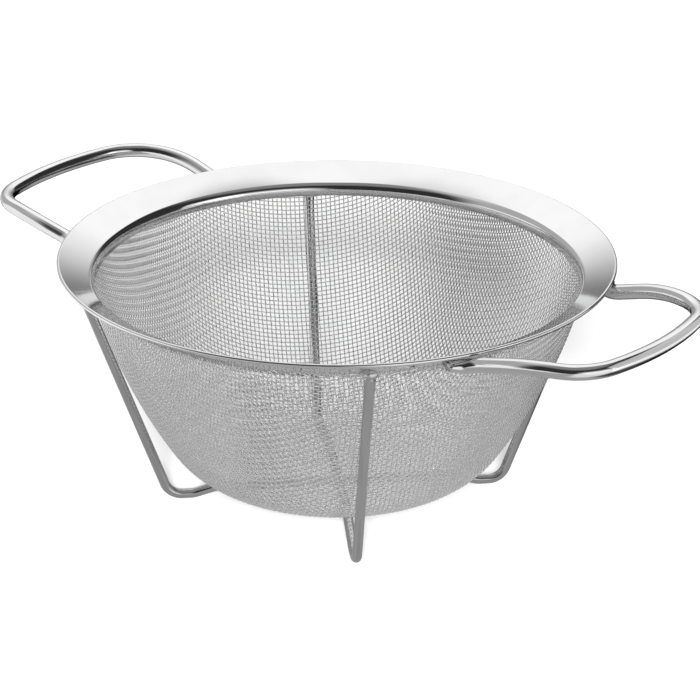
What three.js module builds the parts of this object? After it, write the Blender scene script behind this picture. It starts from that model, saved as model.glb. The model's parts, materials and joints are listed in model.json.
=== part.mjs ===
// Mesh colander: a pressed steel rim, a bowl of woven wire cloth lapped on the rim's skirt, two bent
// wire handles welded under the flange, and two bent leg wires that cross under the bowl.
// Millimetres, +Z up, +X along one handle, origin on the table below the middle of the bowl.
import * as THREE from 'three';

const degrees = THREE.MathUtils.degToRad;

// Pressed rim
const MOUTH_DIAMETER = 232;
const FLANGE_WIDTH = 15;
const FLANGE_SLOPE = degrees(25);
const RIM_SHEET = 0.8;
const ROLLED_EDGE_DIAMETER = 2.4;
const SHOULDER_RADIUS = 4;
const SKIRT_STRAIGHT = 3.5;

// Wire cloth bowl
const CLOTH_THICKNESS = 1.5;
const CLOTH_EDGE_SETBACK = 0.6;
const WALL_LEAN = degrees(14.5);
const WALL_RADIUS = 263.5;
const CORNER_LEAN = degrees(33.6);
const CORNER_RADIUS = 40;

// Leg wires
const LEG_WIRE = 4.8;
const LEG_LEAN = degrees(20.2);
const FOOT_BEND = 9;
const FOOT_FLAT = 4;
const FOOT_DROP = 3;
const UNDERRUN_RISE = degrees(16);
const UNDERRUN_BEND = 12;
const LEG_TURN = degrees(45);

// Handle wires
const HANDLE_WIRE = 7.2;
const HANDLE_REACH = 53.6;
const HANDLE_CROWN = 10.1;
const HANDLE_LIFT = 2.4;
const HANDLE_OUTER_WIDTH = 95.5;
const HANDLE_CORNER_BEND = 25.5;
const HANDLE_CROWN_BEND = 150;
const WAIST_WIDTH = 114;
const WAIST_REACH = 15.6;
const WAIST_LIFT = 2.4;
const WAIST_BEND = 60;
const NECK_WIDTH = 109;
const NECK_BEND = 15;
const HANDLE_END_LENGTH = 14.2;
const HANDLE_END_INSET = 5;

// Weld metal
const LEG_WELD_HEIGHT = 3;
const LEG_WELD_DEPTH = 4;
const LEG_WELD_WIDTH = 6;
const HANDLE_WELD_DIAMETER = 2.4;
const HANDLE_WELD_LENGTH = 9;

// Pieces that touch keep this clearance
const SEAT = 0.3;

// Facets
const ROUND_STEPS = 64;
const WALL_STEPS = 7;
const CORNER_STEPS = 5;
const WIRE_SIDES = 12;
const BEND_STEP = degrees(12);

const flat = (r, z) => new THREE.Vector2(r, z);

// Points on an arc about a centre, both ends included
function arcPoints(centre, radius, from, to, steps) {
  const points = [];
  for (let i = 0; i <= steps; i += 1) {
    const angle = from + ((to - from) * i) / steps;
    points.push(flat(centre.x + radius * Math.cos(angle), centre.y + radius * Math.sin(angle)));
  }
  return points;
}

// A profile of radius and height, turned about the upright axis
function turned(profile) {
  return new THREE.LatheGeometry(profile, ROUND_STEPS).rotateX(Math.PI / 2);
}

// Heights, from the table up
const legRadius = LEG_WIRE / 2;
const footHeight = legRadius;
const lowerCrossing = footHeight + FOOT_DROP;
const upperCrossing = lowerCrossing + LEG_WIRE + SEAT;
const bowlBottom = upperCrossing + legRadius + SEAT;

// The bowl's section, measured from the lower edge of the rim's skirt
const skirtInside = MOUTH_DIAMETER / 2;
const skirtOutside = skirtInside + RIM_SHEET / Math.cos(WALL_LEAN);
const clothInside = skirtOutside + SEAT / Math.cos(WALL_LEAN);
const wallOuter = WALL_RADIUS + CLOTH_THICKNESS;
const cornerOuter = CORNER_RADIUS + CLOTH_THICKNESS;
const wallDrop = wallOuter * (Math.sin(CORNER_LEAN) - Math.sin(WALL_LEAN));
const cornerDrop = cornerOuter * (1 - Math.sin(CORNER_LEAN));
const skirtEdge = bowlBottom + cornerDrop + wallDrop + CLOTH_THICKNESS * Math.sin(WALL_LEAN);
const lapHeight = (SKIRT_STRAIGHT - CLOTH_EDGE_SETBACK) * Math.cos(WALL_LEAN);
const lapSpread = lapHeight * Math.tan(WALL_LEAN);

// The rim's section: flange and skirt meet at a corner that the shoulder rounds off
const sheetHalf = RIM_SHEET / 2;
const shoulderTurn = Math.PI / 2 - WALL_LEAN - FLANGE_SLOPE;
const shoulderReach = SHOULDER_RADIUS * Math.tan(shoulderTurn / 2);
const skirtLength = SKIRT_STRAIGHT + shoulderReach;
const rimCorner = flat(
  skirtInside + sheetHalf / Math.cos(WALL_LEAN) + skirtLength * Math.sin(WALL_LEAN),
  skirtEdge + skirtLength * Math.cos(WALL_LEAN),
);
const edgeRadius = ROLLED_EDGE_DIAMETER / 2;
const edgeCentre = flat(
  rimCorner.x + FLANGE_WIDTH,
  rimCorner.y + FLANGE_WIDTH * Math.tan(FLANGE_SLOPE),
);
const rimRadius = edgeCentre.x + edgeRadius;

// How far a point lies below the flat underside of the flange
function belowFlange(point) {
  const under = edgeCentre.y - sheetHalf / Math.cos(FLANGE_SLOPE);
  return (point.x - edgeCentre.x) * Math.sin(FLANGE_SLOPE) - (point.y - under) * Math.cos(FLANGE_SLOPE);
}

function rimProfile() {
  const skirtUp = flat(Math.sin(WALL_LEAN), Math.cos(WALL_LEAN));
  const skirtOut = flat(Math.cos(WALL_LEAN), -Math.sin(WALL_LEAN));
  const skirtTop = rimCorner.clone().addScaledVector(skirtUp, -shoulderReach);
  const skirtFoot = rimCorner.clone().addScaledVector(skirtUp, -skirtLength);
  const shoulder = skirtTop.clone().addScaledVector(skirtOut, SHOULDER_RADIUS);
  const fromSkirt = Math.PI - WALL_LEAN;
  const toFlange = fromSkirt - shoulderTurn;
  const shoulderSteps = Math.ceil(shoulderTurn / BEND_STEP);
  const inner = SHOULDER_RADIUS + sheetHalf;
  const outer = SHOULDER_RADIUS - sheetHalf;
  const blend = Math.asin(sheetHalf / edgeRadius);
  const inward = Math.PI + FLANGE_SLOPE;
  const profile = [
    skirtFoot.clone().addScaledVector(skirtOut, sheetHalf),
    ...arcPoints(shoulder, outer, fromSkirt, toFlange, shoulderSteps),
    ...arcPoints(edgeCentre, edgeRadius, inward + blend, inward + 2 * Math.PI - blend, WIRE_SIDES),
    ...arcPoints(shoulder, inner, toFlange, fromSkirt, shoulderSteps),
    skirtFoot.clone().addScaledVector(skirtOut, -sheetHalf),
  ];
  profile.push(profile[0].clone());
  return profile;
}

// One face of the cloth, from its cut edge down to the middle of the bottom
function clothFace(atSkirt, wallRadius, cornerRadius, drop) {
  const height = skirtEdge + drop;
  const wallCentre = flat(
    atSkirt - wallRadius * Math.cos(WALL_LEAN),
    height + wallRadius * Math.sin(WALL_LEAN),
  );
  const between = wallRadius - cornerRadius;
  const cornerCentre = flat(
    wallCentre.x + between * Math.cos(CORNER_LEAN),
    wallCentre.y - between * Math.sin(CORNER_LEAN),
  );
  const wall = arcPoints(wallCentre, wallRadius, -WALL_LEAN, -CORNER_LEAN, WALL_STEPS);
  const corner = arcPoints(cornerCentre, cornerRadius, -CORNER_LEAN, -Math.PI / 2, CORNER_STEPS);
  const edge = flat(atSkirt + lapSpread, height + lapHeight);
  const middle = flat(0, cornerCentre.y - cornerRadius);
  return [edge, ...wall, ...corner.slice(1), middle];
}

const clothFaces = {
  inside: clothFace(clothInside, WALL_RADIUS, CORNER_RADIUS, 0),
  outside: clothFace(
    clothInside + CLOTH_THICKNESS * Math.cos(WALL_LEAN),
    wallOuter,
    cornerOuter,
    -CLOTH_THICKNESS * Math.sin(WALL_LEAN),
  ),
};

function bowlProfile() {
  return [...clothFaces.outside].reverse().concat(clothFaces.inside);
}

// A wire's centreline: straight runs joined by bends, known only at its stations
class BentWire extends THREE.Curve {
  constructor(corners) {
    super();
    this.stations = [];
    const last = corners.length - 1;
    const run = (i) => corners[i + 1].at.clone().sub(corners[i].at).normalize();
    this.stations.push({ point: corners[0].at, tangent: run(0) });
    for (let i = 1; i < last; i += 1) {
      this.addBend(corners[i], run(i - 1), run(i));
    }
    this.stations.push({ point: corners[last].at, tangent: run(last - 1) });
  }

  addBend(corner, before, after) {
    const turn = before.angleTo(after);
    const axis = before.clone().cross(after).normalize();
    const start = corner.at.clone().addScaledVector(before, -corner.bend * Math.tan(turn / 2));
    const centre = axis.clone().cross(before).multiplyScalar(corner.bend).add(start);
    const arm = start.clone().sub(centre);
    const steps = Math.max(2, Math.ceil(turn / BEND_STEP));
    for (let i = 0; i <= steps; i += 1) {
      const angle = (turn * i) / steps;
      this.stations.push({
        point: arm.clone().applyAxisAngle(axis, angle).add(centre),
        tangent: before.clone().applyAxisAngle(axis, angle),
      });
    }
  }

  station(u) {
    return this.stations[Math.round(u * (this.stations.length - 1))];
  }

  getPointAt(u, target = new THREE.Vector3()) {
    return target.copy(this.station(u).point);
  }

  getTangentAt(u, target = new THREE.Vector3()) {
    return target.copy(this.station(u).tangent);
  }
}

// A round wire whose flats lie at its true radius
function wireGeometry(corners, diameter) {
  const section = new THREE.Shape();
  const cornerRadius = diameter / 2 / Math.cos(Math.PI / WIRE_SIDES);
  for (let i = 0; i < WIRE_SIDES; i += 1) {
    const angle = ((i + 0.5) * 2 * Math.PI) / WIRE_SIDES;
    const point = [cornerRadius * Math.cos(angle), cornerRadius * Math.sin(angle)];
    if (i === 0) {
      section.moveTo(...point);
    } else {
      section.lineTo(...point);
    }
  }
  const path = new BentWire(corners);
  return new THREE.ExtrudeGeometry(section, { steps: path.stations.length - 1, extrudePath: path });
}

const bendAt = (x, y, z, bend = 0) => ({ at: new THREE.Vector3(x, y, z), bend });

// A leg leans against the bulge of the bowl's wall, clear of it by the seat
const legAlong = flat(Math.sin(LEG_LEAN), Math.cos(LEG_LEAN));
const legAway = flat(Math.cos(LEG_LEAN), -Math.sin(LEG_LEAN));
const wallBulge = Math.max(...clothFaces.outside.map((point) => point.dot(legAway)));
const legOffset = wallBulge + SEAT + legRadius;
const legFoot = flat(
  (legOffset + footHeight * Math.sin(LEG_LEAN)) / Math.cos(LEG_LEAN),
  footHeight,
);

// The leg's weld fills the wedge between the end of the leg and the underside of the flange
const legToFlange = LEG_LEAN + FLANGE_SLOPE;
const legWeldSupport = Math.hypot(
  (LEG_WELD_HEIGHT / 2) * Math.cos(legToFlange),
  (LEG_WELD_DEPTH / 2) * Math.sin(legToFlange),
);
const legWeldReach = (belowFlange(legFoot) - legWeldSupport - SEAT) / Math.cos(legToFlange);
const legWeldCentre = legFoot.clone().addScaledVector(legAlong, legWeldReach);
const legEnd = legFoot.clone().addScaledVector(legAlong, legWeldReach - LEG_WELD_HEIGHT / 2 - SEAT);

// One wire makes two opposite legs: down, round the foot, up under the bowl and the same again
function legWire(crossingHeight) {
  const footTurn = Math.PI / 2 - LEG_LEAN;
  const footReach = FOOT_BEND * Math.tan(footTurn / 2);
  const riseReach = UNDERRUN_BEND * Math.tan(UNDERRUN_RISE / 2);
  const riseStart = legFoot.x - footReach - FOOT_FLAT - riseReach;
  const knee = riseStart - (crossingHeight - footHeight) / Math.tan(UNDERRUN_RISE);
  const half = [
    bendAt(legEnd.x, 0, legEnd.y),
    bendAt(legFoot.x, 0, legFoot.y, FOOT_BEND),
    bendAt(riseStart, 0, footHeight, UNDERRUN_BEND),
    bendAt(knee, 0, crossingHeight, UNDERRUN_BEND),
  ];
  const otherHalf = half.map(({ at, bend }) => bendAt(-at.x, 0, at.z, bend)).reverse();
  return wireGeometry([...half, ...otherHalf], LEG_WIRE);
}

// The handle's ends lie along the underside of the flange
const handleEndRadius = rimRadius - HANDLE_END_INSET;
const handleSeat = SEAT + HANDLE_WIRE / 2;
const handleEndDrop = (belowFlange(flat(handleEndRadius, edgeCentre.y)) - handleSeat) / Math.cos(FLANGE_SLOPE);
const handleEndHeight = edgeCentre.y + handleEndDrop;
const neckAngle = Math.asin(NECK_WIDTH / 2 / handleEndRadius);
const neckX = handleEndRadius * Math.cos(neckAngle);

function handleWire() {
  const outerX = rimRadius + HANDLE_REACH;
  const outerHeight = edgeCentre.y + HANDLE_LIFT;
  const half = [
    bendAt(
      neckX - HANDLE_END_LENGTH * Math.sin(neckAngle),
      NECK_WIDTH / 2 + HANDLE_END_LENGTH * Math.cos(neckAngle),
      handleEndHeight,
    ),
    bendAt(neckX, NECK_WIDTH / 2, handleEndHeight, NECK_BEND),
    bendAt(rimRadius + WAIST_REACH, WAIST_WIDTH / 2, edgeCentre.y + WAIST_LIFT, WAIST_BEND),
    bendAt(outerX - HANDLE_CROWN, HANDLE_OUTER_WIDTH / 2, outerHeight, HANDLE_CORNER_BEND),
  ];
  const crown = bendAt(outerX, 0, outerHeight, HANDLE_CROWN_BEND);
  const otherHalf = half.map(({ at, bend }) => bendAt(at.x, -at.y, at.z, bend)).reverse();
  return wireGeometry([...half, crown, ...otherHalf], HANDLE_WIRE);
}

// A short bead in the groove between a handle's end and the flange, on the bowl's side
function handleWeld(side) {
  const beadRadius = HANDLE_WELD_DIAMETER / 2;
  const apart = HANDLE_WIRE / 2 + SEAT + beadRadius;
  const rise = handleSeat - SEAT - beadRadius;
  const along = Math.sqrt(apart * apart - rise * rise);
  const radius = handleEndRadius - along * Math.cos(FLANGE_SLOPE) - rise * Math.sin(FLANGE_SLOPE);
  const height = handleEndHeight - along * Math.sin(FLANGE_SLOPE) + rise * Math.cos(FLANGE_SLOPE);
  const bead = new THREE.CapsuleGeometry(beadRadius, HANDLE_WELD_LENGTH - HANDLE_WELD_DIAMETER, 3, 10);
  return bead.translate(radius, (side * HANDLE_END_LENGTH) / 2, height);
}

function legWeld() {
  const nugget = new THREE.SphereGeometry(0.5, 12, 8);
  nugget.scale(LEG_WELD_DEPTH, LEG_WELD_WIDTH, LEG_WELD_HEIGHT);
  return nugget.rotateY(LEG_LEAN).translate(legWeldCentre.x, 0, legWeldCentre.y);
}

const steel = (color, roughness) => new THREE.MeshStandardMaterial({ color, roughness, metalness: 1 });
const polishedSheet = steel(0xd9dadc, 0.12);
const wireCloth = steel(0xc4c5c7, 0.32);
const polishedWire = steel(0xd2d3d5, 0.16);
const weldMetal = steel(0xb4b3b1, 0.38);

const colander = new THREE.Group();

function addPiece(name, geometry, material, turn = 0) {
  const piece = new THREE.Mesh(geometry, material);
  piece.name = name;
  piece.rotation.z = turn;
  colander.add(piece);
}

addPiece('rim_ring', turned(rimProfile()), polishedSheet);
addPiece('mesh_bowl', turned(bowlProfile()), wireCloth);

addPiece('leg_wire_upper', legWire(upperCrossing), polishedWire, -LEG_TURN);
addPiece('leg_wire_lower', legWire(lowerCrossing), polishedWire, LEG_TURN);
['front', 'right', 'back', 'left'].forEach((place, i) => {
  addPiece(`leg_weld_${place}`, legWeld(), weldMetal, -LEG_TURN + (i * Math.PI) / 2);
});

['right', 'left'].forEach((side, i) => {
  const turn = i * Math.PI;
  addPiece(`handle_${side}`, handleWire(), polishedWire, turn);
  addPiece(`handle_weld_${side}_a`, handleWeld(1), weldMetal, turn + neckAngle);
  addPiece(`handle_weld_${side}_b`, handleWeld(-1), weldMetal, turn - neckAngle);
});

export default colander;
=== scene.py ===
import json
import math

import bpy
import numpy as np
from mathutils import Matrix, Vector, noise


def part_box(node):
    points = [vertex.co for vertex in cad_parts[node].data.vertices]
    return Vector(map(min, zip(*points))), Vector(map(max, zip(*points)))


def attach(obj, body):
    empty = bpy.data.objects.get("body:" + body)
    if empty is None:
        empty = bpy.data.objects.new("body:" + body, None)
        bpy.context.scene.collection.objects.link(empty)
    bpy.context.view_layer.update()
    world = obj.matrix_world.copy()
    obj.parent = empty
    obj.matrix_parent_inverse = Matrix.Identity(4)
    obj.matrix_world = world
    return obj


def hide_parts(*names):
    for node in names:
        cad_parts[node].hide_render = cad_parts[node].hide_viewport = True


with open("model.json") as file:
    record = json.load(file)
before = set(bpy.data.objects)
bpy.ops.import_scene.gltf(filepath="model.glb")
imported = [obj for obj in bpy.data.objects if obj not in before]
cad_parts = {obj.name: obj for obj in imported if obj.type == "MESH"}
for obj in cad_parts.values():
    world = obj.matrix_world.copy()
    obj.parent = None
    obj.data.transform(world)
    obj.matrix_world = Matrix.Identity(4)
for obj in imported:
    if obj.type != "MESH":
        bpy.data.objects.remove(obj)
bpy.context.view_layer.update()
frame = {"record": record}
scene = bpy.context.scene
mm = 0.001


# Rim: one ring of stainless sheet, pressed to a sloping flange with a rounded shoulder and a short
# skirt, its outer edge turned down and under. It is polished to a mirror, and all else hangs on it.
sheet_half = 0.4 * mm
flange_width = 15 * mm
flange_drop = 6.99 * mm
flange_slope = math.radians(27)
edge_half = 1.2 * mm
lip_bend = 0.5 * mm
lip_height = 0.2 * mm
lip_lean = math.radians(6)
hem_turn = math.radians(120)
hem_length = 0.6 * mm
shoulder_radius = 4 * mm
skirt_straight = 3.5 * mm
wall_lean = math.radians(14.5)
rim_steps = 288
rim_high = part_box("rim_ring")[1]
edge_height = rim_high.z - edge_half


def pressed_sheet(start, heading, moves):
    """Outline of a strip of sheet that runs straight and then bends to the right, move by move. A move
    without a bend gives its point twice, which keeps the cut edge of the sheet sharp."""
    place, left, right = np.array(start), [], []
    for straight, radius, turn in moves:
        steps = max(6, math.ceil(math.degrees(turn) / 6)) if turn else 1
        for part in np.linspace(0, 1, steps + 1):
            bearing = heading - turn * part
            run = place + straight * np.array([math.cos(heading), math.sin(heading)])
            bend = radius * np.array(
                [math.sin(heading) - math.sin(bearing), math.cos(bearing) - math.cos(heading)]
            )
            side = sheet_half * np.array([-math.sin(bearing), math.cos(bearing)])
            left.append(run + bend + side)
            right.append(run + bend - side)
        place, heading = run + bend, bearing
    return np.array(left + right[::-1])


def smooth_piece(name, points, faces):
    """A smooth-shaded mesh object in the scene."""
    mesh = bpy.data.meshes.new(name)
    mesh.from_pydata([tuple(p) for p in points], [], [tuple(f) for f in faces])
    mesh.shade_smooth()
    piece = bpy.data.objects.new(name, mesh)
    scene.collection.objects.link(piece)
    return piece


def spun_ring(name, outline, steps):
    """A closed outline of radius and height, spun about the upright axis."""
    turns = np.arange(steps) * 2 * math.pi / steps
    count = len(outline)
    points = np.empty((steps, count, 3))
    points[..., 0] = np.cos(turns)[:, None] * outline[:, 0]
    points[..., 1] = np.sin(turns)[:, None] * outline[:, 0]
    points[..., 2] = outline[:, 1]
    index = np.arange(steps * count).reshape(steps, count)
    ahead = np.roll(index, -1, axis=0)
    faces = np.stack([index, ahead, np.roll(ahead, -1, axis=1), np.roll(index, -1, axis=1)], axis=2)
    return smooth_piece(name, points.reshape(-1, 3), faces.reshape(-1, 4))


class Signal:
    """A socket in a node tree: arithmetic on it adds Math nodes, and node() adds any other."""

    def __init__(self, tree, socket=None):
        self.tree = tree
        self.socket = socket

    def node(self, kind, settings=None, sockets=None, output=0):
        made = self.tree.nodes.new("ShaderNode" + kind)
        for name, value in (settings or {}).items():
            setattr(made, name, value)
        for name, value in (sockets or {}).items():
            if isinstance(value, Signal):
                self.tree.links.new(value.socket, made.inputs[name])
            else:
                made.inputs[name].default_value = value
        return Signal(self.tree, made.outputs[output] if made.outputs else None)

    def also(self, output):
        """Another output of the same node."""
        return Signal(self.tree, self.socket.node.outputs[output])

    def math(self, operation, first, second=0.0):
        return self.node("Math", {"operation": operation}, {0: first, 1: second})

    def mix(self, first, second):
        """A colour between two, this signal being the share of the second."""
        return self.node("Mix", {"data_type": "RGBA"}, {0: self, 6: (*first, 1), 7: (*second, 1)}, 2)

    def between(self, low, high):
        """0 below low, 1 above high, and a smooth step from one to the other."""
        return self.node("MapRange", {"interpolation_type": "SMOOTHSTEP"}, {0: self, 1: low, 2: high})

    def __add__(self, other):
        return self.math("ADD", self, other)

    def __sub__(self, other):
        return self.math("SUBTRACT", self, other)

    def __rsub__(self, other):
        return self.math("SUBTRACT", other, self)

    def __mul__(self, other):
        return self.math("MULTIPLY", self, other)

    __radd__ = __add__
    __rmul__ = __mul__


def steel(name, colour, roughness, normal, metallic=1.0):
    """A bare metal; colour, roughness and normal are made by functions of the tree's first signal."""
    material = bpy.data.materials.new(name)
    material.use_nodes = True
    tree = material.node_tree
    surface = tree.nodes["Principled BSDF"]
    surface.inputs["Metallic"].default_value = metallic
    start = Signal(tree)
    for socket, maker in (("Base Color", colour), ("Roughness", roughness), ("Normal", normal)):
        tree.links.new(maker(start).socket, surface.inputs[socket])
    return material


def rim_turned(start, along, across):
    """Noise drawn out round the ring, as a polishing wheel leaves it."""
    place = start.node("TexCoord", output="Object")
    x = start.node("SeparateXYZ", {}, {0: place}, "X")
    y, z = x.also("Y"), x.also("Z")
    turn = x.math("ARCTAN2", y, x)
    radius = x.math("SQRT", x * x + y * y)
    ring = x.node("CombineXYZ", {}, {0: turn * along, 1: radius * across, 2: z * across})
    return x.node("TexNoise", {}, {"Vector": ring, "Scale": 1.0, "Detail": 3.0})


def rim_colour(start):
    stain = start.node(
        "TexNoise", {}, {"Vector": start.node("TexCoord", output="Object"), "Scale": 42.0, "Detail": 2.0}
    )
    return stain.between(0.35, 0.7).mix((0.85, 0.85, 0.855), (0.82, 0.82, 0.825))


def rim_roughness(start):
    return 0.045 + 0.07 * rim_turned(start, 6.0, 2600.0)


def rim_normal(start):
    dents = start.node(
        "TexNoise", {}, {"Vector": start.node("TexCoord", output="Object"), "Scale": 16.0, "Detail": 1.0}
    )
    marks = rim_turned(start, 5.0, 3000.0)
    return start.node("Bump", {}, {"Strength": 0.14, "Distance": 0.0003, "Height": dents + 0.02 * marks})


along_skirt = np.array([math.sin(wall_lean), math.cos(wall_lean)])
shoulder_turn = math.pi / 2 - wall_lean - flange_slope
shoulder_reach = shoulder_radius * math.tan(shoulder_turn / 2)
rim_corner = np.array([rim_high.x - edge_half - flange_width, edge_height - flange_drop])
skirt_foot = rim_corner - along_skirt * (shoulder_reach + skirt_straight)
lip_turn = math.pi / 2 + flange_slope + lip_lean
lip_out = lip_bend * (1 + math.sin(flange_slope)) + sheet_half
flange_run = (rim_high.x - lip_out - rim_corner[0]) / math.cos(flange_slope) - shoulder_reach
rim_outline = pressed_sheet(
    skirt_foot,
    math.pi / 2 - wall_lean,
    [
        (0, 0, 0),
        (skirt_straight, shoulder_radius, shoulder_turn),
        (flange_run, lip_bend, lip_turn),
        (lip_height, lip_bend, hem_turn),
        (hem_length, 0, 0),
    ],
)
rim = spun_ring("rim", rim_outline, rim_steps)
rim.data.materials.append(steel("mirror_polished_sheet", rim_colour, rim_roughness, rim_normal))
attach(rim, "root")
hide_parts("rim_ring")


# Bowl: one piece of plain-woven stainless wire cloth, pressed down into a bowl so that its square
# meshes shear to diamonds between the warp and the weft. Its cut edge laps the outside of the skirt.
cloth_thickness = 1.5 * mm
cloth_wire = 0.275 * mm
weft_pitch = 2.14 * mm
warp_pitch = 2.32 * mm
warp_bearing = math.radians(137.8)
lap = 2.9 * mm
wall_radius = 263.5 * mm + cloth_thickness / 2
corner_radius = 40 * mm + cloth_thickness / 2
corner_lean = math.radians(33.6)
cut_jitter = 0.9 * mm
cloth_metallic = 0.97
arc_steps = 40
wire_sides = 6
stations_per_mesh = 3
stations_per_piece = 15500
spare_cloth = 8 * mm
cloth_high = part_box("mesh_bowl")[1]
chance = np.random.default_rng(7)


def arc(centre, radius, start, end, steps):
    """Points of an arc in the plane of radius and height."""
    turns = np.linspace(start, end, steps + 1)
    return centre + radius * np.stack([np.cos(turns), np.sin(turns)], axis=1)


cloth_edge = np.array([cloth_high.x, cloth_high.z]) - cloth_thickness / 2 * np.array(
    [math.cos(wall_lean), math.sin(wall_lean)]
)
wall_top = cloth_edge - lap * along_skirt
wall_centre = wall_top + wall_radius * np.array([-math.cos(wall_lean), math.sin(wall_lean)])
corner_centre = wall_centre + (wall_radius - corner_radius) * np.array(
    [math.cos(corner_lean), -math.sin(corner_lean)]
)
cloth_outline = np.concatenate(
    [
        [[0, corner_centre[1] - corner_radius]],
        arc(corner_centre, corner_radius, -math.pi / 2, -corner_lean, arc_steps),
        arc(wall_centre, wall_radius, -corner_lean, -wall_lean, arc_steps)[1:],
        [cloth_edge + spare_cloth * along_skirt],
    ]
)
cloth_reach = np.concatenate([[0], np.cumsum(np.hypot(*np.diff(cloth_outline, axis=0).T))])
cut_reach = cloth_reach[-1] - spare_cloth


def on_cloth(reach, turn):
    """The point of the cloth so far along it from the bottom of the bowl, and so far round."""
    radius = np.interp(reach, cloth_reach, cloth_outline[:, 0])
    height = np.interp(reach, cloth_reach, cloth_outline[:, 1])
    return np.array([radius * math.cos(turn), radius * math.sin(turn), height])


def cross_over(before_weft, before_warp, reach, turn):
    """The point of the cloth one weft pitch from one crossing and one warp pitch from the other."""
    nudge = 1e-7
    for _ in range(14):
        here = on_cloth(reach, turn)
        gaps = [here - before_weft, here - before_warp]
        miss = np.array([np.linalg.norm(gaps[0]) - weft_pitch, np.linalg.norm(gaps[1]) - warp_pitch])
        if np.abs(miss).max() < 1e-9:
            return reach, turn, here
        slope_reach = (on_cloth(reach + nudge, turn) - here) / nudge
        slope_turn = (on_cloth(reach, turn + nudge) - here) / nudge
        ways = [gap / max(np.linalg.norm(gap), 1e-9) for gap in gaps]
        slopes = np.array([[way @ slope_reach, way @ slope_turn] for way in ways])
        if abs(np.linalg.det(slopes)) < 1e-9:
            break
        step = np.linalg.solve(slopes, -miss)
        room = max(abs(step[0]) / weft_pitch, abs(step[1]) * np.hypot(here[0], here[1]) / weft_pitch, 1)
        reach, turn = reach + step[0] / room, turn + step[1] / room
    return None


def drape():
    """Crossings of one quarter of the cloth: reach down the bowl and turn about it, by weft and warp."""
    wefts = int(cloth_reach[-1] / weft_pitch)
    warps = int(cloth_reach[-1] / warp_pitch)
    reach = np.full((wefts + 1, warps + 1), np.nan)
    turn = np.full((wefts + 1, warps + 1), np.nan)
    reach[:, 0], turn[:, 0] = np.arange(wefts + 1) * weft_pitch, 0
    reach[0, :], turn[0, :] = np.arange(warps + 1) * warp_pitch, math.pi / 2
    turn[0, 0] = 0
    points = np.full((wefts + 1, warps + 1, 3), np.nan)
    for i in range(wefts + 1):
        points[i, 0] = on_cloth(reach[i, 0], 0)
    for j in range(warps + 1):
        points[0, j] = on_cloth(reach[0, j], math.pi / 2)
    for i in range(1, wefts + 1):
        for j in range(1, warps + 1):
            weft_side, warp_side = points[i - 1, j], points[i, j - 1]
            if np.isnan(weft_side[0]) or np.isnan(warp_side[0]):
                continue
            guess = weft_side + warp_side - points[i - 1, j - 1]
            start = reach[i - 1, j] + reach[i, j - 1] - reach[i - 1, j - 1]
            found = cross_over(weft_side, warp_side, start, math.atan2(guess[1], guess[0]))
            if found and found[0] < cloth_reach[-1]:
                reach[i, j], turn[i, j], points[i, j] = found
    return reach, turn


def whole_cloth():
    """The crossings of the quarter, mirrored into all four."""
    reach, turn = drape()
    reach = np.concatenate([reach[:0:-1], reach])
    turn = np.concatenate([math.pi - turn[:0:-1], turn])
    reach = np.concatenate([reach[:, :0:-1], reach], axis=1)
    turn = np.concatenate([-turn[:, :0:-1], turn], axis=1)
    return reach, turn


def cloth_frame(reach, turn):
    """Points and outward normals of the cloth's middle surface."""
    radius = np.interp(reach, cloth_reach, cloth_outline[:, 0])
    height = np.interp(reach, cloth_reach, cloth_outline[:, 1])
    nudge = 0.2 * mm
    out = np.interp(reach + nudge, cloth_reach, cloth_outline[:, 0]) - np.interp(
        reach - nudge, cloth_reach, cloth_outline[:, 0]
    )
    up = np.interp(reach + nudge, cloth_reach, cloth_outline[:, 1]) - np.interp(
        reach - nudge, cloth_reach, cloth_outline[:, 1]
    )
    length = np.hypot(out, up)
    out, up = out / length, up / length
    points = np.stack([radius * np.cos(turn), radius * np.sin(turn), height], axis=-1)
    normals = np.stack([up * np.cos(turn), up * np.sin(turn), -out], axis=-1)
    return points, normals


def swept(points, sides_out, radius, sides):
    """Rings round a wire's stations, with each point's place along and across the straight wire. A
    pressed wire has two radii at each station, one out and one across."""
    ways = np.gradient(points, axis=0)
    ways /= np.linalg.norm(ways, axis=1, keepdims=True)
    sides_out = sides_out - ways * (sides_out * ways).sum(axis=1, keepdims=True)
    sides_out /= np.linalg.norm(sides_out, axis=1, keepdims=True)
    across = np.cross(ways, sides_out)
    turns = np.arange(sides) * 2 * math.pi / sides
    out_part = np.cos(turns) * np.broadcast_to(radius, (len(points), 2))[:, :1]
    across_part = np.sin(turns) * np.broadcast_to(radius, (len(points), 2))[:, 1:]
    rings = points[:, None] + sides_out[:, None] * out_part[..., None]
    rings = rings + across[:, None] * across_part[..., None]
    length = np.concatenate([[0], np.cumsum(np.linalg.norm(np.diff(points, axis=0), axis=1))])
    own = np.stack([np.broadcast_to(length[:, None], out_part.shape), out_part, across_part], axis=2)
    return rings.reshape(-1, 3), own.reshape(-1, 3)


def tube_faces(stations, sides, first):
    """Faces round a wire and over its two cut ends, its points being numbered on from the first."""
    index = first + np.arange(stations * sides).reshape(stations, sides)
    near, far = index[:-1], index[1:]
    around = np.stack([near, np.roll(near, -1, 1), np.roll(far, -1, 1), far], axis=2).reshape(-1, 4)
    return [*map(tuple, around), tuple(index[0][::-1]), tuple(index[-1])]


def wire_piece(name, tubes, sides):
    """One mesh of many wires, which keeps each point's place along and across its own wire."""
    points, own, faces = [], [], []
    first = 0
    for rings, straight in tubes:
        points.append(rings)
        own.append(straight)
        faces += tube_faces(len(rings) // sides, sides, first)
        first += len(rings)
    piece = smooth_piece(name, np.concatenate(points), faces)
    drawn = piece.data.attributes.new("drawn", "FLOAT_VECTOR", "POINT")
    drawn.data.foreach_set("vector", np.concatenate(own).astype(np.float32).ravel())
    return piece


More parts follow.
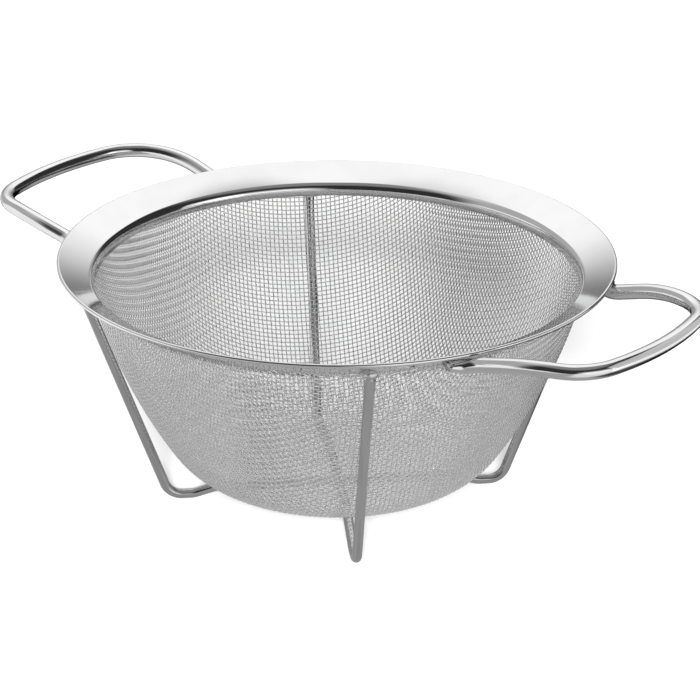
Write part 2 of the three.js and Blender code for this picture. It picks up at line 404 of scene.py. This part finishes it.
def woven_wire(reach, turn, parity, upward):
    """One wire of the cloth over and under the wires that it crosses, cut off at the cloth's edge."""
    cut = cut_reach + chance.uniform(-cut_jitter, 0.3 * cut_jitter, 2)
    step = 1 / stations_per_mesh
    place = np.arange(0, len(reach) - 1 + step / 2, step)
    knots = np.arange(len(reach))
    points, normals = cloth_frame(reach, turn)
    heights = upward * np.where((knots + parity) % 2 == 0, 1, -1) * cloth_wire
    fine = np.stack([np.interp(place, knots, points[:, k]) for k in range(3)], axis=1)
    facing = np.stack([np.interp(place, knots, normals[:, k]) for k in range(3)], axis=1)
    whole = np.floor(place + 1e-9).astype(int)
    part = place - whole
    ahead = np.minimum(whole + 1, len(heights) - 1)
    ease = (1 - np.cos(part * math.pi)) / 2
    lift = heights[whole] * (1 - ease) + heights[ahead] * ease
    fine = fine + facing * lift[:, None]
    fine_reach = np.interp(place, knots, reach)
    middle = len(place) // 2
    keep = np.where(np.arange(len(place)) < middle, fine_reach < cut[0], fine_reach < cut[1])
    if keep.sum() < 4:
        return None
    kept = np.flatnonzero(keep)
    run = slice(kept[0], kept[-1] + 1)
    rings, own = swept(fine[run], facing[run], cloth_wire, wire_sides)
    own[:, 0] += chance.uniform(0, 10)
    return rings, own


def cloth_wires():
    """All the wires of the cloth, by family."""
    reach, turn = whole_cloth()
    turn = turn + warp_bearing
    families = {"weft": [], "warp": []}
    for family, rows, upward in (("weft", zip(reach, turn), 1), ("warp", zip(reach.T, turn.T), -1)):
        for number, (row_reach, row_turn) in enumerate(rows):
            known = np.flatnonzero(~np.isnan(row_reach))
            if len(known) < 4:
                continue
            part = slice(known[0], known[-1] + 1)
            wire = woven_wire(row_reach[part], np.unwrap(row_turn[part]), number + known[0], upward)
            if wire:
                families[family].append(wire)
    return families


def drawn_grain(start, along, across, detail=4.0):
    """Noise drawn out along a wire, as the drawing die leaves it."""
    own = start.node("Attribute", {"attribute_name": "drawn"}, output="Vector")
    scaled = own.node("VectorMath", {"operation": "MULTIPLY"}, {0: own, 1: (along, across, across)})
    return own.node("TexNoise", {}, {"Vector": scaled, "Scale": 1.0, "Detail": detail})


def cloth_colour(start):
    grain = drawn_grain(start, 90.0, 900.0, 2.0)
    return grain.between(0.35, 0.7).mix((0.93, 0.93, 0.935), (0.86, 0.86, 0.865))


def cloth_roughness(start):
    return 0.04 + 0.1 * drawn_grain(start, 260.0, 2600.0, 2.0)


def cloth_normal(start):
    grain = drawn_grain(start, 300.0, 5000.0, 2.0)
    return start.node("Bump", {}, {"Strength": 0.2, "Distance": 0.00005, "Height": grain})


wire_cloth = steel("drawn_wire_cloth", cloth_colour, cloth_roughness, cloth_normal, cloth_metallic)
for family, wires in cloth_wires().items():
    bundles = [[]]
    for wire in wires:
        stations = sum(len(rings) // wire_sides for rings, _ in [*bundles[-1], wire])
        if stations > stations_per_piece:
            bundles.append([])
        bundles[-1].append(wire)
    for number, bundle in enumerate(bundles, 1):
        cloth = wire_piece(f"cloth_{family}_{number}", bundle, wire_sides)
        cloth.data.materials.append(wire_cloth)
        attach(cloth, "root")
        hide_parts("mesh_bowl")


# Leg wires: two lengths of 5 mm stainless wire, each bent to a pair of opposite legs with rounded
# feet. They cross under the bowl, where they are welded together, and their pressed ends are welded
# to the rim.
leg_radius = 2.4 * mm
leg_lean = math.radians(20.2)
foot_bend = 9 * mm
foot_flat = 4 * mm
underrun_rise = math.radians(16)
underrun_bend = 12 * mm
crossing_height = 5.4 * mm
crossing_step = 5.1 * mm
leg_sides = 18
leg_end_out = 2.9 * mm
leg_end_across = 1.8 * mm
leg_end_length = 14 * mm
leg_end_rounding = 0.5 * mm
bend_spacing = 3 * mm


def bent_path(corners, spacing):
    """Stations along straight runs joined by round bends; corners are (point, bend radius)."""
    stations, here = [], corners[0][0]
    for (before, _), (corner, bend), (after, _) in zip(corners, corners[1:], corners[2:]):
        way_in = (corner - before).normalized()
        way_out = (after - corner).normalized()
        turn = way_in.angle(way_out)
        axis = way_in.cross(way_out).normalized()
        start = corner - way_in * bend * math.tan(turn / 2)
        centre = start + axis.cross(way_in) * bend
        runs = max(1, round((start - here).length / spacing))
        bends = max(4, math.ceil(math.degrees(turn) / 3), round(turn * bend / spacing))
        stations += [here.lerp(start, i / runs) for i in range(runs)]
        arm = [Matrix.Rotation(turn * i / bends, 3, axis) @ (start - centre) for i in range(bends + 1)]
        stations += [centre + reach for reach in arm[:-1]]
        here = centre + arm[-1]
    runs = max(1, round((corners[-1][0] - here).length / spacing))
    stations += [here.lerp(corners[-1][0], i / runs) for i in range(runs + 1)]
    path = np.array([tuple(p) for p in stations])
    return path, np.concatenate([[0], np.cumsum(np.linalg.norm(np.diff(path, axis=0), axis=1))])


def carried_sides(path, first):
    """A side direction carried along a path without twist."""
    ways = np.gradient(path, axis=0)
    ways /= np.linalg.norm(ways, axis=1, keepdims=True)
    sides = [first - ways[0] * (first @ ways[0])]
    for way in ways[1:]:
        side = sides[-1] - way * (sides[-1] @ way)
        sides.append(side / np.linalg.norm(side))
    return np.array(sides)


def pressed_ends(places, radius, end_out, end_across, length, rounding):
    """Radii along a wire whose ends are pressed flat over a length, with broken edges at the cuts."""
    from_end = np.minimum(places, places[-1] - places)
    pressed = np.clip(1 - from_end / length, 0, 1)
    pressed = pressed * pressed * (3 - 2 * pressed)
    broken = 0.7 * rounding * np.clip(1 - from_end / rounding, 0, 1) ** 2
    radii = radius + (np.array([end_out, end_across]) - radius) * pressed[:, None]
    return radii - broken[:, None]


def leg_colour(start):
    grain = drawn_grain(start, 30.0, 700.0)
    return grain.between(0.3, 0.75).mix((0.68, 0.68, 0.685), (0.56, 0.56, 0.565))


def leg_roughness(start):
    return 0.06 + 0.1 * drawn_grain(start, 60.0, 2400.0)


def leg_normal(start):
    grain = drawn_grain(start, 20.0, 1800.0)
    return start.node("Bump", {}, {"Strength": 0.25, "Distance": 0.00012, "Height": grain})


leg_steel = steel("bright_leg_wire", leg_colour, leg_roughness, leg_normal)
foot_turn = math.pi / 2 - leg_lean
feet = {mount["name"]: Vector(mount["pos_m"]) for mount in frame["record"]["mounts"]}
foot_radius = feet["foot_front"].length + foot_flat / 2 + foot_bend * math.tan(foot_turn / 2)
for name, foot, crossing in (
    ("upper", feet["foot_front"], crossing_height + crossing_step),
    ("lower", feet["foot_right"], crossing_height),
):
    node = f"leg_wire_{name}"
    leg_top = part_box(node)[1].z - leg_radius * math.sin(leg_lean)
    bearing = foot.normalized()
    top_radius = foot_radius + (leg_top - leg_radius) * math.tan(leg_lean)
    rise_start = foot.length - foot_flat / 2 - underrun_bend * math.tan(underrun_rise / 2)
    knee = rise_start - (crossing - leg_radius) / math.tan(underrun_rise)
    half = [
        (top_radius, leg_top, 0),
        (foot_radius, leg_radius, foot_bend),
        (rise_start, leg_radius, underrun_bend),
        (knee, crossing, underrun_bend),
    ]
    corners = [(bearing * r + Vector((0, 0, z)), bend) for r, z, bend in half]
    corners += [(bearing * -r + Vector((0, 0, z)), bend) for r, z, bend in half[::-1]]
    path, places = bent_path(corners, bend_spacing)
    radii = pressed_ends(
        places, leg_radius, leg_end_out, leg_end_across, leg_end_length, leg_end_rounding
    )
    sides = carried_sides(path, np.array(tuple(Vector((0, 0, 1)).cross(bearing))))
    leg = wire_piece(f"legs_{name}", [swept(path, sides, radii, leg_sides)], leg_sides)
    leg.data.materials.append(leg_steel)
    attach(leg, "root")
    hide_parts(node)


# Leg welds: lumps of fused steel, pressed bright by the welding tip, which fix the top of each leg to
# the underside of the flange.
def weld_lump(name, centre, size, turn, ripple, lean=0.0):
    """An uneven ball of weld metal, leaned over and then turned about the upright axis."""
    rows, columns = 14, 24
    seed = centre * 900
    points = []
    for i in range(rows + 1):
        up = math.pi * (i / rows - 0.5)
        for j in range(columns):
            around = 2 * math.pi * j / columns
            spot = Vector((math.cos(up) * math.cos(around), math.cos(up) * math.sin(around), math.sin(up)))
            swell = 1 + ripple * noise.noise(spot * 2.1 + seed)
            points.append(Vector(a * b for a, b in zip(spot, size)) * swell * 0.5)
    pose = Matrix.Translation(centre) @ Matrix.Rotation(turn, 4, "Z") @ Matrix.Rotation(lean, 4, "Y")
    points = [pose @ p for p in points]
    index = np.arange((rows + 1) * columns).reshape(rows + 1, columns)
    near, far = index[:-1], index[1:]
    faces = np.stack([near, np.roll(near, -1, 1), np.roll(far, -1, 1), far], axis=2).reshape(-1, 4)
    return smooth_piece(name, points, faces)


def weld_cloud(start, scale):
    place = start.node("TexCoord", output="Object")
    return start.node("TexNoise", {}, {"Vector": place, "Scale": scale, "Detail": 4.0})


def weld_colour(start):
    cloud = weld_cloud(start, 420.0)
    return cloud.between(0.35, 0.65).mix((0.8, 0.795, 0.79), (0.62, 0.6, 0.585))


def weld_roughness(start):
    return 0.16 + 0.3 * weld_cloud(start, 700.0)


def weld_normal(start):
    cloud = weld_cloud(start, 700.0)
    return start.node("Bump", {}, {"Strength": 0.3, "Distance": 0.00015, "Height": cloud})


weld_steel = steel("fused_weld_metal", weld_colour, weld_roughness, weld_normal)
leg_weld_size = Vector((4.6, 6.4, 5.2)) * mm
leg_weld_shift = Vector((0.9, 0, -1.1)) * mm
leg_weld_ripple = 0.12
for place, turn in (("front", -45), ("right", 45), ("back", 135), ("left", 225)):
    node = f"leg_weld_{place}"
    low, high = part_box(node)
    turn = math.radians(turn)
    seat = (low + high) / 2 + Matrix.Rotation(turn, 3, "Z") @ leg_weld_shift
    lump = weld_lump(f"weld_{place}", seat, leg_weld_size, turn, leg_weld_ripple, leg_lean)
    lump.data.materials.append(weld_steel)
    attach(lump, "root")
    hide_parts(node)


# Handles: two lengths of 7 mm stainless wire, bent to a loop that narrows towards the rim, polished,
# and welded by their pressed ends along the underside of the flange.
handle_radius = 3.6 * mm
handle_reach = 53.6 * mm
handle_crown = 10.1 * mm
handle_lift = 2.4 * mm
handle_outer_half = 47.75 * mm
handle_corner_bend = 25.5 * mm
handle_crown_bend = 150 * mm
waist_half = 57 * mm
waist_reach = 15.6 * mm
waist_lift = 2.4 * mm
waist_bend = 60 * mm
neck_half = 54.5 * mm
neck_bend = 15 * mm
end_length = 8 * mm
end_inset = 5 * mm
handle_sides = 28
handle_end_out = 2.05 * mm
handle_end_across = 4.1 * mm
handle_end_pressed = 12 * mm
handle_end_rounding = 0.6 * mm


def handle_colour(start):
    grain = drawn_grain(start, 25.0, 500.0)
    return grain.between(0.3, 0.75).mix((0.84, 0.84, 0.845), (0.76, 0.76, 0.765))


def handle_roughness(start):
    return 0.07 + 0.1 * drawn_grain(start, 70.0, 1900.0)


def handle_normal(start):
    grain = drawn_grain(start, 45.0, 420.0)
    return start.node("Bump", {}, {"Strength": 0.2, "Distance": 0.00015, "Height": grain})


handle_steel = steel("polished_handle_wire", handle_colour, handle_roughness, handle_normal)
end_radius = rim_high.x - end_inset
end_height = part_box("handle_right")[0].z + handle_radius
neck_turn = math.asin(neck_half / end_radius)
neck = Vector((end_radius * math.cos(neck_turn), neck_half, end_height))
end_way = Vector((-math.sin(neck_turn), math.cos(neck_turn), 0))
outer_x = rim_high.x + handle_reach
outer_height = edge_height + handle_lift
handle_half = [
    (neck + end_way * end_length, 0),
    (neck, neck_bend),
    (Vector((rim_high.x + waist_reach, waist_half, edge_height + waist_lift)), waist_bend),
    (Vector((outer_x - handle_crown, handle_outer_half, outer_height)), handle_corner_bend),
]
flip = Matrix.Diagonal((1, -1, 1))
handle_corners = [
    *handle_half,
    (Vector((outer_x, 0, outer_height)), handle_crown_bend),
    *((flip @ at, bend) for at, bend in handle_half[::-1]),
]
for side, turn in (("right", 0), ("left", math.pi)):
    spin = Matrix.Rotation(turn, 3, "Z")
    path, places = bent_path([(spin @ at, bend) for at, bend in handle_corners], bend_spacing)
    radii = pressed_ends(
        places, handle_radius, handle_end_out, handle_end_across, handle_end_pressed, handle_end_rounding
    )
    path[:, 2] += handle_radius - np.minimum(radii[:, 0], handle_radius)
    sides = carried_sides(path, np.array((0, 0, 1.0)))
    handle = wire_piece(f"handle_{side}_wire", [swept(path, sides, radii, handle_sides)], handle_sides)
    handle.data.materials.append(handle_steel)
    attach(handle, "root")
    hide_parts(f"handle_{side}")


# Handle welds: short rippled beads of fused steel, laid in the groove between each handle end and the
# underside of the flange.
bead_size = Vector((2.0, 7, 2.0)) * mm
bead_ripple = 0.18
for side, turn in (("right", 0), ("left", math.pi)):
    for end, way in (("a", 1), ("b", -1)):
        node = f"handle_weld_{side}_{end}"
        low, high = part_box(node)
        seat = (low + high) / 2
        bead = weld_lump(f"bead_{side}_{end}", seat, bead_size, turn + way * neck_turn, bead_ripple)
        bead.data.materials.append(weld_steel)
        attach(bead, "root")
        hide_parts(node)


# Camera: a long lens a metre and a half away, some way above the rim, with one handle at the near right
# and the other at the far left.
lens_pixels = 3098.0
image_pixels = 700
camera_distance = 11.09 * rim_high.x
camera_azimuth = math.radians(37.84)
camera_elevation = math.radians(23.2)
camera_roll = math.radians(0.37)
camera_aim = Vector((-0.0462, 0.3360)) * rim_high.x
camera_data = bpy.data.cameras.new("camera")
camera_data.sensor_width = 36
camera_data.lens = camera_data.sensor_width * lens_pixels / image_pixels
camera = bpy.data.objects.new("camera", camera_data)
scene.collection.objects.link(camera)
camera_pose = (
    Matrix.Rotation(camera_azimuth, 4, "Z")
    @ Matrix.Rotation(math.pi / 2 - camera_elevation, 4, "X")
    @ Matrix.Rotation(camera_roll, 4, "Z")
)
camera_pose.translation = Vector((0, 0, edge_height)) + camera_pose.to_3x3() @ Vector(
    (-camera_aim.x, -camera_aim.y, camera_distance)
)
camera.matrix_world = camera_pose
scene.camera = camera


# Studio: a white floor in soft light from above the camera, and a soft box at the right. The polished
# steel mirrors the floor, on which light and shade are painted in patches that only reflections see, and
# a room with a bright backdrop, a paler wall at the left and darkness behind the camera.
scene.view_settings.view_transform = "Standard"


def bearing_vector(turn):
    """The level direction so many degrees round to the right of the camera, seen from the colander."""
    bearing = camera_azimuth + math.radians(turn)
    return Vector((math.sin(bearing), -math.cos(bearing), 0))


sun_height = math.radians(25)
sun = bpy.data.lights.new("soft_front_light", "SUN")
sun.angle = math.radians(14)
sun.energy = 7.6
sun_lamp = bpy.data.objects.new("soft_front_light", sun)
sun_from = bearing_vector(0) * math.cos(sun_height) + Vector((0, 0, math.sin(sun_height)))
sun_lamp.rotation_euler = sun_from.to_track_quat("Z", "Y").to_euler()
sun_lamp.visible_glossy = False
scene.collection.objects.link(sun_lamp)

soft_box = bpy.data.lights.new("side_soft_box", "AREA")
soft_box.shape = "RECTANGLE"
soft_box.size = 0.22
soft_box.size_y = 0.2
soft_box.energy = 0.08
side_lamp = bpy.data.objects.new("side_soft_box", soft_box)
side_lamp.location = bearing_vector(90) * 0.27 + bearing_vector(0) * 0.09 + Vector((0, 0, 0.165))
side_lamp.rotation_euler = bearing_vector(90).to_track_quat("Z", "Y").to_euler()
side_lamp.visible_camera = False
scene.collection.objects.link(side_lamp)

floor_half = 6
floor_corners = [(x * floor_half, y * floor_half, 0) for x, y in ((-1, -1), (1, -1), (1, 1), (-1, 1))]
floor = smooth_piece("floor", floor_corners, [(0, 1, 2, 3)])
floor_material = bpy.data.materials.new("pale_floor")
floor_material.use_nodes = True
floor_tree = floor_material.node_tree
floor_tree.nodes.clear()
seen = Signal(floor_tree).node("LightPath", output="Is Camera Ray")
mirrored = seen.also("Is Glossy Ray") + seen.also("Is Transmission Ray")
floor_place = seen.node("TexCoord", output="Object")


def reach_toward(place, turn):
    """How far a place, or a direction, reaches towards a bearing."""
    sockets = {0: place, 1: bearing_vector(turn)}
    return place.node("VectorMath", {"operation": "DOT_PRODUCT"}, sockets, "Value")


def floor_toward(turn):
    return reach_toward(floor_place, turn)


paint = seen.node("BsdfDiffuse", {}, {"Color": (0.9, 0.9, 0.9, 1)})
to_right = floor_toward(90)
to_front = floor_toward(0)
to_back = floor_toward(180)
# Painted reflection: glossy rays see the floor as an emission whose level is painted, not lit. It is a mid
# grey with a painted dark patch at the right, painted shadows just behind the bowl and far behind it, and
# painted bright patches at the front right, the back left and the left.
painted_dark_patch = (
    to_right.between(0.15, 0.21)
    * (1 - to_right.between(0.3, 0.38))
    * (1 - to_front.between(0.2, 0.27))
)
back_shade = floor_toward(150).between(0.04, 0.11) * (1 - to_right.between(0.24, 0.33))
far_shade = to_back.between(0.2, 0.27) * (1 - floor_toward(-90).between(0.18, 0.25))
painted_reflection_level = (
    (0.4 + 0.1 * to_right.between(0.3, 0.4))
    * (1 - 0.85 * painted_dark_patch)
    * (1 - 0.92 * back_shade)
    * (1 - 0.9 * far_shade)
    + 0.45 * to_front.between(0.2, 0.3) * to_right.between(0.04, 0.12)
    + 0.35 * floor_toward(-150).between(0.09, 0.15) * (1 - to_back.between(0.2, 0.26))
    + 0.6 * floor_toward(-95).between(0.24, 0.33)
)
# Glossy and transmission rays see only the glow at the painted level; camera rays see the lamp-lit diffuse
# floor blended with white glow.
shade = (1 - seen) * (1 - painted_reflection_level)
glow = seen.node("Emission", {}, {"Color": shade.mix((1, 1, 1), (0, 0, 0))})
blend = seen.node("MixShader", {}, {0: 0.3 * seen + mirrored, 1: paint, 2: glow})
blend.node("OutputMaterial", {}, {"Surface": blend})
floor.data.materials.append(floor_material)

world = bpy.data.worlds.new("studio")
world.use_nodes = True
scene.world = world
world_tree = world.node_tree
world_tree.nodes.clear()
way = Signal(world_tree).node("TexCoord", output="Generated")
height = way.node("SeparateXYZ", {}, {0: way}, "Z")


def toward(turn):
    return reach_toward(way, turn)


rightward = toward(90)
aside = rightward.math("ABSOLUTE", rightward)
behind = (toward(180) - 0.9 * aside + 0.4 * height.between(0.2, 0.6)).between(0.42, 0.58)
backdrop = 0.19 + 0.92 * height.between(0.0, 0.55)
walls = 0.03 + 0.42 * toward(-137).between(0.12, 0.48) + 0.22 * height.between(0.7, 0.92)
side_light = 0.6 * (1 - height.between(0.1, 0.28)) * toward(-88).between(0.85, 0.97)
low_light = 1.1 * (1 - height.between(0.15, 0.6)) * toward(40).between(0.75, 0.95)
room = behind * backdrop + (1 - behind) * walls + side_light + low_light
ray = way.node("LightPath", output="Is Camera Ray")
sky = way.node("Background", {}, {"Color": (1, 1, 1, 1), "Strength": ray + (1 - ray) * room})
sky.node("OutputWorld", {}, {"Surface": sky})
